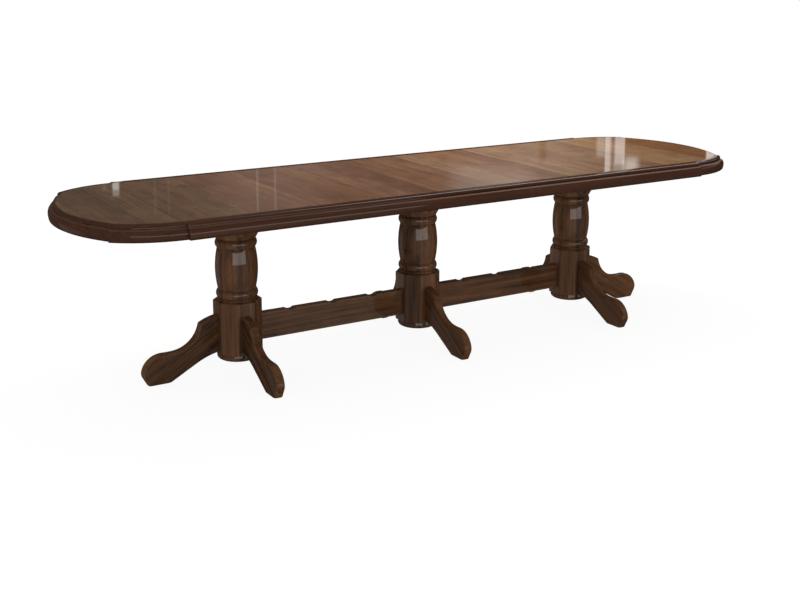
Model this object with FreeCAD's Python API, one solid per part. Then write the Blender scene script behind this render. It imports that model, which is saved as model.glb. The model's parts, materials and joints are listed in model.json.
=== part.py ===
import FreeCAD, Part
import math
import os

# Extending dining table on three turned pedestals, millimetres.
# X runs along the table, Y across it, Z up. The origin is on the floor under the middle of the table.

V = FreeCAD.Vector

# Table top, in plan
TABLE_LENGTH = 3308.0
TABLE_WIDTH = 1000.0
TABLE_HEIGHT = 775.0
LEAF_LENGTH = 550.0
SEAM_GAP = 0.3
SIDE_STEP = 17.0
CORNER_RADIUS = 401.0
CORNER_SWEEP = 42.5
END_STEP = 13.0
END_BOW = 100.0

# Table top, in section
PANEL_THICKNESS = 28.0
EDGE_DEPTH = 63.0
TOP_FLAT = 3.0
REBATE = 30.0
TOP_ROLL = 13.0
ROLL_FILLET = 4.0
LEDGE = 4.0
NOSE_SET = 14.0
NOSE_DROP = 25.0
NOSE_UNDERCUT = 3.0

# Pedestals
PEDESTAL_SPACING = 900.0
HUB_ACROSS_FLATS = 191.0
HUB_BOTTOM = 55.0
HUB_TOP = 313.0
HUB_CHAMFER = 3.5
HUB_FOOT_HEIGHT = 30.0
HUB_FOOT_RADIUS = 91.5
HUB_FOOT_ROUND = 16.0
SPIGOT_RADIUS = 35.0
SPIGOT_LENGTH = 60.0
SPIGOT_CLEARANCE = 0.1
COLLAR_RADIUS = 84.0
COLLAR_HEIGHT = 7.0
NECK_RADIUS = 79.5
NECK_HEIGHT = 3.0
WAIST_RADIUS = 81.0
BEAD_RADIUS = 89.0
BEAD_HEIGHT = 38.0
BARREL_RADIUS = 90.6
CAPITAL_NECK_RADIUS = 86.0
CAPITAL_MIDDLE_RADIUS = 98.0
CAPITAL_RADIUS = 113.0
CAPITAL_FLARE = 44.0
ABACUS_RADIUS = 117.0
ABACUS_HEIGHT = 39.0

# Legs: the points of the outline are measured outwards from the hub's face and up from the floor
LEG_THICKNESS = 40.0
LEG_ROUND = 12.0
LEG_TOP = 257.0
LEG_TOP_SLOPE = 8.0
SHOULDER_OUT = 76.0
SHOULDER_HEIGHT = 233.5
BREAK_OUT = 83.0
BREAK_HEIGHT = 224.5
INSTEP_OUT = 192.0
INSTEP_HEIGHT = 127.5
CREST_OUT = 242.0
CREST_HEIGHT = 126.5
BROW_OUT = 311.0
BROW_HEIGHT = 100.0
TOE_OUT = 332.5
TOE_HEIGHT = 62.0
TUCK_OUT = 328.5
TUCK_HEIGHT = 32.0
HEEL_OUT = 208.0
ARCH_OUT = 98.5
ARCH_HEIGHT = 59.5
LEG_UNDER = 94.0
DOWEL_RADIUS = 8.0
DOWEL_LENGTH = 70.0
DOWEL_CLEARANCE = 0.1
DOWEL_SPACING = 80.0

# Stretchers
STRETCHER_BOTTOM = 118.0
STRETCHER_HEIGHT = 116.5
STRETCHER_THICKNESS = 40.0
STRETCHER_EASE = 4.0
NOTCH_SPACING = 205.0
NOTCH_WIDTH = 40.0
NOTCH_DEPTH = 7.0
TENON_LENGTH = 25.0
TENON_THICKNESS = 16.0
TENON_HEIGHT = 80.0
TENON_CLEARANCE = 0.1

# Bolsters and slides under the top
BOLSTER_THICKNESS = 28.0
BOLSTER_WIDTH = 90.0
BOLSTER_OVERHANG = 70.0
BOLSTER_NOSE = 14.0
BOLSTER_NOSE_RUN = 42.0
RAIL_INSET = 300.0
RAIL_WIDTH = 40.0
RAIL_HEIGHT = 54.0
RAIL_OVERHANG = 60.0
GROOVE_DEPTH = 12.0
GROOVE_HEIGHT = 14.0
SLIDE_CLEARANCE = 0.3
SLIDE_WIDTH = 35.0
SLIDE_START = 70.0
SLIDE_END_INSET = 170.0

# Equaliser: one pinion between two racks
GEAR_MODULE = 3.5
PINION_TEETH = 18
PINION_WIDTH = 14.0
PINION_BOSS = 7.0
PINION_BOSS_RADIUS = 16.0
PRESSURE_ANGLE = 20.0
ROOT_DEPTH_IN_MODULES = 1.25
FLANK_STEPS = 4
BACKLASH = 0.3
AXLE_RADIUS = 6.0
AXLE_CLEARANCE = 0.05
AXLE_DEPTH = 18.0
AXLE_HEAD_RADIUS = 11.0
AXLE_HEAD_HEIGHT = 4.0
RACK_WIDTH = 20.0
RACK_SPARE = 75.0
RACK_FIXING = 545.0
RACK_LIFT = 6.0
RACK_FACE_OVERLAP = 2.0

# Leaf pins and lever locks
PIN_RADIUS = 5.0
PIN_OUT = 14.0
PIN_IN = 26.0
PIN_CLEARANCE = 0.1
PIN_INSET = 86.0
PIN_STAGGER = 50.0
LOCK_INSET = 160.0
LOCK_SETBACK = 30.0
LEVER_THICKNESS = 4.0
LEVER_WIDTH = 22.0
LEVER_CLEARANCE = 0.3
LOCK_SHANK_RADIUS = 3.0
LOCK_HEAD_RADIUS = 6.5
LOCK_HEAD_HEIGHT = 3.0
LOCK_SHANK_IN = 18.0
KEEPER_RADIUS = 4.0

# Wood screws, and the room round a fixed pin or screw in its hole
FIT_CLEARANCE = 0.1
SCREW_RADIUS = 2.5
SCREW_HEAD_RADIUS = 5.0
SCREW_BITE = 18.0
SCREW_EDGE = 60.0
COACH_RADIUS = 4.0
COACH_HEAD_RADIUS = 8.0
COACH_HEAD_HEIGHT = 5.0
COACH_LENGTH = 70.0
COACH_CIRCLE = 85.0

# Heights and places that follow from the sizes above
PANEL_BOTTOM = TABLE_HEIGHT - PANEL_THICKNESS
RAIL_BOTTOM = PANEL_BOTTOM - RAIL_HEIGHT
COLUMN_TOP = RAIL_BOTTOM - BOLSTER_THICKNESS
CAPITAL_HEIGHT = CAPITAL_FLARE + ABACUS_HEIGHT
BARREL_HEIGHT = COLUMN_TOP - HUB_TOP - COLLAR_HEIGHT - 4 * NECK_HEIGHT - 2 * BEAD_HEIGHT - CAPITAL_HEIGHT
SEAM = LEAF_LENGTH / 2
HALF_WIDTH = TABLE_WIDTH / 2
HALF_LENGTH = TABLE_LENGTH / 2
CORNER_ANGLE = math.radians(90 - CORNER_SWEEP)
CORNER_Y = HALF_WIDTH - SIDE_STEP - CORNER_RADIUS
HALF_SIDE = HALF_LENGTH - END_BOW - CORNER_RADIUS * math.cos(CORNER_ANGLE)
EDGE_WIDTH = TOP_ROLL + LEDGE + NOSE_SET
PANEL_SETBACK = EDGE_WIDTH + TOP_FLAT + END_STEP
PANEL_CORNER_RADIUS = CORNER_RADIUS - PANEL_SETBACK
PANEL_HALF_WIDTH = CORNER_Y + PANEL_CORNER_RADIUS
RAIL_Y = HALF_WIDTH - RAIL_INSET
SLIDE_END = HALF_LENGTH - SLIDE_END_INSET
PIN_SPACING = PANEL_HALF_WIDTH - PIN_INSET - PIN_STAGGER
LOCK_Y = HALF_WIDTH - LOCK_INSET
HUB_FLAT = HUB_ACROSS_FLATS / 2
PITCH_RADIUS = GEAR_MODULE * PINION_TEETH / 2
TOOTH_ROOT = GEAR_MODULE * ROOT_DEPTH_IN_MODULES
PEDESTALS = {"left": -PEDESTAL_SPACING, "middle": 0.0, "right": PEDESTAL_SPACING}
SIDES = {"left": -1, "right": 1}
FACES = {"front": -1, "back": 1}


def save(name, shape):
    """Write one node, a solid or a group of separate solids."""
    shape.exportStep("parts/" + name + ".step")


def wire_of(edges):
    """Join curve pieces end to end into one wire."""
    return Part.Wire([edge.toShape() for edge in edges])


def line(start, end):
    return Part.LineSegment(start, end)


def arc(start, through, end):
    return Part.Arc(start, through, end)


class Outline:
    """A path in the XZ plane, of straight runs and of bends that carry on smoothly from what came before."""

    def __init__(self, x, z, angle):
        self.at = V(x, 0, z)
        self.heading = V(math.cos(math.radians(angle)), 0, math.sin(math.radians(angle)))
        self.edges = []

    def straight(self, x, z):
        end = V(x, 0, z)
        self.edges.append(line(self.at, end))
        self.heading = (end - self.at).normalize()
        self.at = end

    def bend(self, x, z):
        end = V(x, 0, z)
        chord = end - self.at
        across = V(-self.heading.z, 0, self.heading.x)
        radius = chord.dot(chord) / (2 * chord.dot(across))
        centre = self.at + across * radius
        through = centre + (self.at + end - centre * 2).normalize() * abs(radius)
        self.edges.append(arc(self.at, through, end))
        along = V(chord).normalize()
        self.heading = along * (2 * self.heading.dot(along)) - self.heading
        self.at = end


def polygon(points):
    return Part.Face(Part.makePolygon(points + points[:1]))


def box(low, high):
    """A block between two corners, each an (x, y, z) tuple."""
    size = [b - a for a, b in zip(low, high)]
    return Part.makeBox(size[0], size[1], size[2], V(*low))


def rod(radius, start, end):
    """A round bar between two points."""
    run = end - start
    return Part.makeCylinder(radius, run.Length, start, run)


def turned(shape, angle, about=V(0, 0, 0)):
    """A copy turned about a vertical line, in degrees."""
    copy = shape.copy()
    copy.rotate(about, V(0, 0, 1), angle)
    return copy


def moved(shape, x=0.0, y=0.0, z=0.0):
    copy = shape.copy()
    copy.translate(V(x, y, z))
    return copy


def mirrored(shape, axis):
    return shape.mirror(V(0, 0, 0), axis)


def group(solids):
    return Part.makeCompound(solids)


# Edge moulding: a quarter round, a ledge and a full nose below it, with a rebate that the panel sits in
def moulding_section(setback):
    """The moulding's section in (outward, height), with outward 0 at its widest line."""
    top_in = -EDGE_WIDTH
    roll_in = top_in + TOP_ROLL
    z_top = TABLE_HEIGHT
    z_ledge = z_top - TOP_ROLL - ROLL_FILLET
    z_wide = z_ledge - NOSE_DROP
    z_low = z_top - EDGE_DEPTH
    inner = -(setback + REBATE)
    upper = Outline(-setback, z_top, 0)
    upper.straight(top_in, z_top)
    upper.bend(roll_in, z_top - TOP_ROLL)
    upper.straight(roll_in, z_ledge)
    upper.straight(-NOSE_SET, z_ledge)
    nose = Outline(0, z_wide, 90)
    nose.bend(-NOSE_SET, z_ledge)
    lower = Outline(0, z_wide, -90)
    lower.bend(-NOSE_UNDERCUT, z_low)
    lower.straight(inner, z_low)
    lower.straight(inner, PANEL_BOTTOM)
    lower.straight(-setback, PANEL_BOTTOM)
    lower.straight(-setback, z_top)
    return upper.edges + nose.edges + lower.edges


def side_moulding(x_low, x_high):
    """A straight length along the back edge, from x_low to x_high."""
    face = Part.Face(wire_of(moulding_section(SIDE_STEP + PANEL_SETBACK)))
    face.rotate(V(0, 0, 0), V(0, 0, 1), 90)
    face.translate(V(x_low, HALF_WIDTH, 0))
    return face.extrude(V(x_high - x_low, 0, 0))


def corner_moulding():
    """The quarter bend at the back right corner, cut square at both ends."""
    face = Part.Face(wire_of(moulding_section(PANEL_SETBACK)))
    face.translate(V(CORNER_RADIUS, 0, 0))
    bend = face.revolve(V(0, 0, 0), V(0, 0, 1), CORNER_SWEEP)
    bend = turned(bend, 90 - CORNER_SWEEP)
    return moved(bend, HALF_SIDE, CORNER_Y)


def corner_point(radius, angle=CORNER_ANGLE):
    """A point on a circle about the corner bend's centre, where the bend ends unless an angle is given."""
    return V(HALF_SIDE + radius * math.cos(angle), CORNER_Y + radius * math.sin(angle), 0)


def end_circle():
    """The radius of the bowed end and the x of its centre, from its tip and its step at the corner bend."""
    meet = corner_point(CORNER_RADIUS - END_STEP)
    back = HALF_LENGTH - meet.x
    radius = (back * back + meet.y * meet.y) / (2 * back)
    return radius, HALF_LENGTH - radius


def end_moulding():
    """The bow across the right end, cut to meet the corner bends."""
    end_radius, end_x = end_circle()
    meet = corner_point(PANEL_CORNER_RADIUS)
    panel_radius = math.hypot(meet.x - end_x, meet.y)
    face = Part.Face(wire_of(moulding_section(end_radius - panel_radius)))
    face.translate(V(end_radius, 0, 0))
    half_sweep = math.degrees(math.atan2(meet.y, meet.x - end_x)) + math.degrees(REBATE / panel_radius)
    bow = face.revolve(V(0, 0, 0), V(0, 0, 1), 2 * half_sweep)
    bow = moved(turned(bow, -half_sweep), end_x)
    beyond = TABLE_WIDTH
    waste = box((-beyond, 0, 0), (beyond, beyond, TABLE_HEIGHT + EDGE_DEPTH))
    waste = turned(waste, 90 - CORNER_SWEEP)
    waste = moved(waste, HALF_SIDE, CORNER_Y)
    return bow.cut(waste).cut(mirrored(waste, V(0, 1, 0)))


def end_panel():
    """The flat of the right half: straight sides, two corner bends and a bowed end."""
    side_y = PANEL_HALF_WIDTH
    end_x = end_circle()[1]
    meet = corner_point(PANEL_CORNER_RADIUS)
    bow_tip = end_x + math.hypot(meet.x - end_x, meet.y)
    start = SEAM + SEAM_GAP
    bend = corner_point(PANEL_CORNER_RADIUS, math.radians(90 - CORNER_SWEEP / 2))
    edges = [
        line(V(start, -side_y, 0), V(HALF_SIDE, -side_y, 0)),
        arc(V(HALF_SIDE, -side_y, 0), V(bend.x, -bend.y, 0), V(meet.x, -meet.y, 0)),
        arc(V(meet.x, -meet.y, 0), V(bow_tip, 0, 0), meet),
        arc(meet, bend, V(HALF_SIDE, side_y, 0)),
        line(V(HALF_SIDE, side_y, 0), V(start, side_y, 0)),
        line(V(start, side_y, 0), V(start, -side_y, 0)),
    ]
    face = Part.Face(wire_of(edges))
    face.translate(V(0, 0, PANEL_BOTTOM))
    return face.extrude(V(0, 0, PANEL_THICKNESS))


def leaf_panel():
    return box((-SEAM, -PANEL_HALF_WIDTH, PANEL_BOTTOM), (SEAM, PANEL_HALF_WIDTH, TABLE_HEIGHT))


# Leaf pins, and the slots, open below, that drop over them
def pin_places(side):
    """Where a half's pins stand along its seam; the two halves' pins are staggered."""
    return [step * PIN_SPACING + side * PIN_STAGGER for step in (-1, 0, 1)]


def pin(side, y, radius, reach_in):
    z = PANEL_BOTTOM + PANEL_THICKNESS / 2
    seam_x = side * (SEAM + SEAM_GAP)
    return rod(radius, V(seam_x + side * reach_in, y, z), V(seam_x - side * PIN_OUT, y, z))


def pin_slot(x_edge, inward, y):
    """A slot into a panel edge, from its underside up to a round end over the pin."""
    radius = PIN_RADIUS + PIN_CLEARANCE
    z = PANEL_BOTTOM + PANEL_THICKNESS / 2
    depth = PIN_OUT + PIN_CLEARANCE + SEAM_GAP
    inner = x_edge + inward * depth
    outer = x_edge - inward * SEAM_GAP
    round_end = rod(radius, V(outer, y, z), V(inner, y, z))
    way = box((min(inner, outer), y - radius, PANEL_BOTTOM - radius), (max(inner, outer), y + radius, z))
    return round_end.fuse(way)


# Pedestal: octagonal hub, turned column
def hub(tenon_sides, leg_angles):
    octagon_radius = HUB_FLAT / math.cos(math.pi / 8)

    def ring(radius, z):
        corners = [math.pi / 8 + k * math.pi / 4 for k in range(8)]
        points = [V(radius * math.cos(a), radius * math.sin(a), z) for a in corners]
        return Part.makePolygon(points + points[:1])

    foot_top = HUB_BOTTOM + HUB_FOOT_HEIGHT
    chamfer_base = HUB_TOP - HUB_CHAMFER
    top_radius = (HUB_FLAT - HUB_CHAMFER) / math.cos(math.pi / 8)
    block = Part.Face(ring(octagon_radius, foot_top)).extrude(V(0, 0, chamfer_base - foot_top))
    cap = Part.makeLoft([ring(octagon_radius, chamfer_base), ring(top_radius, HUB_TOP)], True, True)
    turn_in = HUB_FOOT_RADIUS - HUB_FOOT_ROUND
    half_turn = HUB_FOOT_ROUND * math.sqrt(0.5)
    edges = [
        line(V(0, 0, HUB_BOTTOM), V(turn_in, 0, HUB_BOTTOM)),
        arc(V(turn_in, 0, HUB_BOTTOM),
            V(turn_in + half_turn, 0, HUB_BOTTOM + HUB_FOOT_ROUND - half_turn),
            V(HUB_FOOT_RADIUS, 0, HUB_BOTTOM + HUB_FOOT_ROUND)),
        line(V(HUB_FOOT_RADIUS, 0, HUB_BOTTOM + HUB_FOOT_ROUND), V(HUB_FOOT_RADIUS, 0, foot_top)),
        line(V(HUB_FOOT_RADIUS, 0, foot_top), V(0, 0, foot_top)),
        line(V(0, 0, foot_top), V(0, 0, HUB_BOTTOM)),
    ]
    foot = Part.Face(wire_of(edges)).revolve(V(0, 0, 0), V(0, 0, 1), 360)
    solid = block.fuse(cap).fuse(foot).removeSplitter()
    socket_depth = SPIGOT_LENGTH + SPIGOT_CLEARANCE
    socket = rod(SPIGOT_RADIUS + SPIGOT_CLEARANCE, V(0, 0, HUB_TOP - socket_depth), V(0, 0, HUB_TOP))
    solid = solid.cut(socket)
    for side in tenon_sides:
        solid = solid.cut(turned(tenon(TENON_CLEARANCE), 0 if side > 0 else 180))
    for angle in leg_angles:
        for hole in leg_dowels(DOWEL_CLEARANCE):
            solid = solid.cut(turned(hole, angle))
    return solid


def tenon(clearance):
    """A stretcher tenon in the hub's +X face."""
    middle = STRETCHER_BOTTOM + STRETCHER_HEIGHT / 2
    half_t = TENON_THICKNESS / 2 + clearance
    half_h = TENON_HEIGHT / 2 + clearance
    inner = HUB_FLAT - TENON_LENGTH - clearance
    return box((inner, -half_t, middle - half_h), (HUB_FLAT, half_t, middle + half_h))


def column():
    """The turned column, from its spigot to the abacus under the bolster."""
    edges = []
    at = V(0, 0, HUB_TOP - SPIGOT_LENGTH)

    def go(radius, rise=0.0):
        nonlocal at
        end = V(radius, 0, at.z + rise)
        edges.append(line(at, end))
        at = end

    def swell(radius, end_radius, rise):
        nonlocal at
        end = V(end_radius, 0, at.z + rise)
        edges.append(arc(at, V(radius, 0, at.z + rise / 2), end))
        at = end

    go(SPIGOT_RADIUS)
    go(SPIGOT_RADIUS, SPIGOT_LENGTH)
    go(COLLAR_RADIUS)
    go(COLLAR_RADIUS, COLLAR_HEIGHT)
    go(NECK_RADIUS)
    go(NECK_RADIUS, NECK_HEIGHT)
    go(WAIST_RADIUS)
    swell(BEAD_RADIUS, WAIST_RADIUS, BEAD_HEIGHT)
    go(NECK_RADIUS)
    go(NECK_RADIUS, NECK_HEIGHT)
    go(WAIST_RADIUS)
    swell(BARREL_RADIUS, WAIST_RADIUS, BARREL_HEIGHT)
    go(NECK_RADIUS)
    go(NECK_RADIUS, NECK_HEIGHT)
    go(WAIST_RADIUS)
    swell(BEAD_RADIUS, WAIST_RADIUS, BEAD_HEIGHT)
    go(NECK_RADIUS)
    go(NECK_RADIUS, NECK_HEIGHT)
    go(CAPITAL_NECK_RADIUS)
    swell(CAPITAL_MIDDLE_RADIUS, CAPITAL_RADIUS, CAPITAL_FLARE)
    go(ABACUS_RADIUS)
    go(ABACUS_RADIUS, ABACUS_HEIGHT)
    go(0.0)
    edges.append(line(at, V(0, 0, HUB_TOP - SPIGOT_LENGTH)))
    solid = Part.Face(wire_of(edges)).revolve(V(0, 0, 0), V(0, 0, 1), 360)
    for hole in coach_screws(COACH_RADIUS + FIT_CLEARANCE):
        solid = solid.cut(hole)
    return solid


# Legs
def leg_dowels(clearance):
    """The two dowels between a leg and the hub's +X face."""
    middle = (LEG_TOP + LEG_UNDER) / 2
    half = DOWEL_LENGTH / 2 + clearance
    places = [middle + step * DOWEL_SPACING / 2 for step in (-1, 1)]
    return [rod(DOWEL_RADIUS + clearance, V(HUB_FLAT - half, 0, z), V(HUB_FLAT + half, 0, z)) for z in places]


def leg():
    """A sawn S-shaped leg standing on the hub's +X face, with its long edges rounded over."""
    path = Outline(HUB_FLAT, LEG_TOP, -LEG_TOP_SLOPE)
    path.bend(HUB_FLAT + SHOULDER_OUT, SHOULDER_HEIGHT)
    path.bend(HUB_FLAT + BREAK_OUT, BREAK_HEIGHT)
    path.bend(HUB_FLAT + INSTEP_OUT, INSTEP_HEIGHT)
    path.bend(HUB_FLAT + CREST_OUT, CREST_HEIGHT)
    path.bend(HUB_FLAT + BROW_OUT, BROW_HEIGHT)
    path.bend(HUB_FLAT + TOE_OUT, TOE_HEIGHT)
    path.bend(HUB_FLAT + TUCK_OUT, TUCK_HEIGHT)
    path.straight(path.at.x - path.heading.x * path.at.z / path.heading.z, 0)
    path.straight(HUB_FLAT + HEEL_OUT, 0)
    path.straight(HUB_FLAT + ARCH_OUT, ARCH_HEIGHT)
    path.bend(HUB_FLAT, LEG_UNDER)
    path.straight(HUB_FLAT, LEG_TOP)
    face = Part.Face(wire_of(path.edges))
    face.translate(V(0, -LEG_THICKNESS / 2, 0))
    solid = face.extrude(V(0, LEG_THICKNESS, 0))
    rounded = [edge for edge in solid.Edges if on_rounded_edge(edge)]
    solid = solid.makeFillet(LEG_ROUND, rounded)
    for hole in leg_dowels(DOWEL_CLEARANCE):
        solid = solid.cut(hole)
    return solid


def on_rounded_edge(edge):
    """True for the long edges of a leg that are rounded over: all but the root and the sole."""
    box_of = edge.BoundBox
    flat_sided = box_of.YLength < 1e-6
    at_root = box_of.XMax < HUB_FLAT + 1e-3
    at_sole = box_of.ZMax < 1e-3
    return flat_sided and not at_root and not at_sole


# Stretcher
def stretcher():
    """The board between two hubs, for the right-hand span, with its tenons and scalloped top edge."""
    low_x = HUB_FLAT
    high_x = PEDESTAL_SPACING - HUB_FLAT
    middle = PEDESTAL_SPACING / 2
    top = STRETCHER_BOTTOM + STRETCHER_HEIGHT
    half_notch = NOTCH_WIDTH / 2
    edges = []
    at = V(low_x, 0, top)
    for step in (-1, 0, 1):
        notch = middle + step * NOTCH_SPACING
        start = V(notch - half_notch, 0, top)
        end = V(notch + half_notch, 0, top)
        edges.append(line(at, start))
        edges.append(arc(start, V(notch, 0, top - NOTCH_DEPTH), end))
        at = end
    for x, z in ((high_x, top), (high_x, STRETCHER_BOTTOM), (low_x, STRETCHER_BOTTOM), (low_x, top)):
        edges.append(line(at, V(x, 0, z)))
        at = V(x, 0, z)
    face = Part.Face(wire_of(edges))
    face.translate(V(0, -STRETCHER_THICKNESS / 2, 0))
    board = face.extrude(V(0, STRETCHER_THICKNESS, 0))
    lower = [edge for edge in board.Edges if edge.BoundBox.ZMax < STRETCHER_BOTTOM + 1e-3]
    eased = [edge for edge in lower if edge.BoundBox.YLength < 1e-6]
    board = board.makeFillet(STRETCHER_EASE, eased)
    near = tenon(0)
    far = moved(turned(tenon(0), 180), PEDESTAL_SPACING)
    return board.fuse(near).fuse(far).removeSplitter()


# Bolsters and fixed rails
def coach_screws(radius):
    """The shanks of the four screws that hold a bolster on its column."""
    head_base = RAIL_BOTTOM - COACH_HEAD_HEIGHT
    places = [math.pi / 4 + k * math.pi / 2 for k in range(4)]
    points = [V(COACH_CIRCLE * math.cos(a), COACH_CIRCLE * math.sin(a), head_base) for a in places]
    return [rod(radius, p, p - V(0, 0, COACH_LENGTH)) for p in points]


def coach_heads(radius):
    head_base = RAIL_BOTTOM - COACH_HEAD_HEIGHT
    return [rod(radius, V(s.BoundBox.Center.x, s.BoundBox.Center.y, head_base),
                V(s.BoundBox.Center.x, s.BoundBox.Center.y, RAIL_BOTTOM)) for s in coach_screws(COACH_RADIUS)]


def bolster(with_axle):
    """A cross bearer on a column, thinned under both ends."""
    half = RAIL_Y + BOLSTER_OVERHANG
    path = Outline(0, COLUMN_TOP, 0)
    path.straight(half - BOLSTER_NOSE_RUN, COLUMN_TOP)
    path.bend(half, COLUMN_TOP + BOLSTER_NOSE)
    path.straight(half, RAIL_BOTTOM)
    path.straight(0, RAIL_BOTTOM)
    path.straight(0, COLUMN_TOP)
    arm = Part.Face(wire_of(path.edges)).extrude(V(0, BOLSTER_WIDTH, 0))
    arm = turned(moved(arm, 0, -BOLSTER_WIDTH / 2), 90)
    plank = arm.fuse(mirrored(arm, V(0, 1, 0))).removeSplitter()
    coach_holes = coach_screws(COACH_RADIUS + FIT_CLEARANCE) + coach_heads(COACH_HEAD_RADIUS + FIT_CLEARANCE)
    for hole in coach_holes + rail_screws(0.0, FIT_CLEARANCE):
        plank = plank.cut(hole)
    if with_axle:
        axle_hole = rod(AXLE_RADIUS + FIT_CLEARANCE, V(0, 0, RAIL_BOTTOM - AXLE_DEPTH), V(0, 0, RAIL_BOTTOM))
        plank = plank.cut(axle_hole)
    return plank


def rail_screws(x, room=0.0):
    """Countersunk screws up through a bolster at x into the two fixed rails."""
    screws = []
    for rail_y in (-RAIL_Y, RAIL_Y):
        for step in (-1, 1):
            place = V(x + step * BOLSTER_WIDTH / 4, rail_y, COLUMN_TOP)
            screws.append(wood_screw(place, BOLSTER_THICKNESS + SCREW_BITE, room))
    return screws


def wood_screw(place, length, room):
    """A countersunk screw driven upwards, its head flush at place, or its hole when given some room."""
    shank_radius = SCREW_RADIUS + room
    head_radius = SCREW_HEAD_RADIUS + room
    head = Part.makeCone(head_radius, shank_radius, head_radius - shank_radius, place, V(0, 0, 1))
    shank = rod(shank_radius, place, place + V(0, 0, length + room))
    return head.fuse(shank).removeSplitter()


def groove_middle():
    return RAIL_BOTTOM + RAIL_HEIGHT / 2


def fixed_rail(rail_y):
    """A rail along the table with a groove down each side."""
    half_w = RAIL_WIDTH / 2
    floor = half_w - GROOVE_DEPTH
    low = groove_middle() - GROOVE_HEIGHT / 2
    high = groove_middle() + GROOVE_HEIGHT / 2
    half = [(half_w, RAIL_BOTTOM), (half_w, low), (floor, low),
            (floor, high), (half_w, high), (half_w, PANEL_BOTTOM)]
    outline = half + [(-y, z) for y, z in reversed(half)]
    end = PEDESTAL_SPACING + RAIL_OVERHANG
    rail = polygon([V(-end, rail_y + y, z) for y, z in outline]).extrude(V(2 * end, 0, 0))
    for x in PEDESTALS.values():
        for screw in rail_screws(x, FIT_CLEARANCE):
            rail = rail.cut(screw)
    return rail


def slide(side, face):
    """A half's slide: it runs beside a fixed rail, with its tongue in the rail's groove."""
    outward = face * -side
    near = RAIL_WIDTH / 2 + SLIDE_CLEARANCE
    tongue = RAIL_WIDTH / 2 - GROOVE_DEPTH + SLIDE_CLEARANCE
    far = near + SLIDE_WIDTH
    low = groove_middle() - GROOVE_HEIGHT / 2 + SLIDE_CLEARANCE
    high = groove_middle() + GROOVE_HEIGHT / 2 - SLIDE_CLEARANCE
    base = RAIL_BOTTOM + SLIDE_CLEARANCE
    outline = [(far, base), (far, PANEL_BOTTOM), (near, PANEL_BOTTOM), (near, high),
               (tongue, high), (tongue, low), (near, low), (near, base)]
    rail_y = face * RAIL_Y
    end = polygon([V(SLIDE_START, rail_y + outward * y, z) for y, z in outline])
    bar = end.extrude(V(SLIDE_END - SLIDE_START, 0, 0))
    if side < 0:
        bar = mirrored(bar, V(1, 0, 0))
    for hole in slide_screws(side, face, FIT_CLEARANCE):
        bar = bar.cut(hole)
    return bar


def slide_screws(side, face, room=0.0):
    """Screws up through a slide into its half's panel."""
    outward = face * -side
    y = face * RAIL_Y + outward * (RAIL_WIDTH / 2 + SLIDE_CLEARANCE + SLIDE_WIDTH / 2)
    first = SEAM + SCREW_EDGE
    last = SLIDE_END - SCREW_EDGE
    places = [first + (last - first) * k / 3 for k in range(4)]
    length = RAIL_HEIGHT - SLIDE_CLEARANCE + SCREW_BITE
    return [wood_screw(V(side * x, y, RAIL_BOTTOM + SLIDE_CLEARANCE), length, room) for x in places]


# Equaliser gear
def pinion():
    """The spur pinion, with involute flanks, standing on its boss."""
    angle = math.radians(PRESSURE_ANGLE)
    base_radius = PITCH_RADIUS * math.cos(angle)
    tip_radius = PITCH_RADIUS + GEAR_MODULE
    root_radius = PITCH_RADIUS - TOOTH_ROOT
    roll = math.tan(angle) - angle
    half_tooth = (math.pi * GEAR_MODULE / 2 - BACKLASH) / 2 / PITCH_RADIUS
    step = 2 * math.pi / PINION_TEETH
    flank_low = max(base_radius, root_radius)
    low_z = RAIL_BOTTOM + PINION_BOSS

    def polar(radius, turn):
        return V(radius * math.cos(turn), radius * math.sin(turn), low_z)

    def flank_turn(radius):
        """The angle from a tooth's middle to its flank at a radius."""
        spread = math.acos(base_radius / radius)
        return half_tooth + roll - (math.tan(spread) - spread)

    radii = [flank_low + (tip_radius - flank_low) * k / FLANK_STEPS for k in range(FLANK_STEPS + 1)]
    edges = []
    for tooth in range(PINION_TEETH):
        middle = math.pi / 2 + (tooth + 0.5) * step
        rising = [polar(r, middle - flank_turn(r)) for r in radii]
        falling = [polar(r, middle + flank_turn(r)) for r in reversed(radii)]
        foot_in = polar(root_radius, middle - flank_turn(flank_low))
        foot_out = polar(root_radius, middle + flank_turn(flank_low))
        next_in = polar(root_radius, middle + step - flank_turn(flank_low))
        edges.append(line(foot_in, rising[0]))
        edges += [line(a, b) for a, b in zip(rising, rising[1:])]
        edges.append(arc(rising[-1], polar(tip_radius, middle), falling[0]))
        edges += [line(a, b) for a, b in zip(falling, falling[1:])]
        edges.append(line(falling[-1], foot_out))
        edges.append(arc(foot_out, polar(root_radius, middle + step / 2), next_in))
    wheel = Part.Face(wire_of(edges)).extrude(V(0, 0, PINION_WIDTH))
    boss = rod(PINION_BOSS_RADIUS, V(0, 0, RAIL_BOTTOM), V(0, 0, low_z))
    bore = rod(AXLE_RADIUS + AXLE_CLEARANCE, V(0, 0, RAIL_BOTTOM), V(0, 0, low_z + PINION_WIDTH))
    return wheel.fuse(boss).removeSplitter().cut(bore)


def pinion_axle():
    """A headed pin in the middle bolster that the pinion turns on."""
    top = RAIL_BOTTOM + PINION_BOSS + PINION_WIDTH + SLIDE_CLEARANCE
    shank = rod(AXLE_RADIUS, V(0, 0, RAIL_BOTTOM - AXLE_DEPTH), V(0, 0, top))
    head = rod(AXLE_HEAD_RADIUS, V(0, 0, top), V(0, 0, top + AXLE_HEAD_HEIGHT))
    return shank.fuse(head).removeSplitter()


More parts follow.
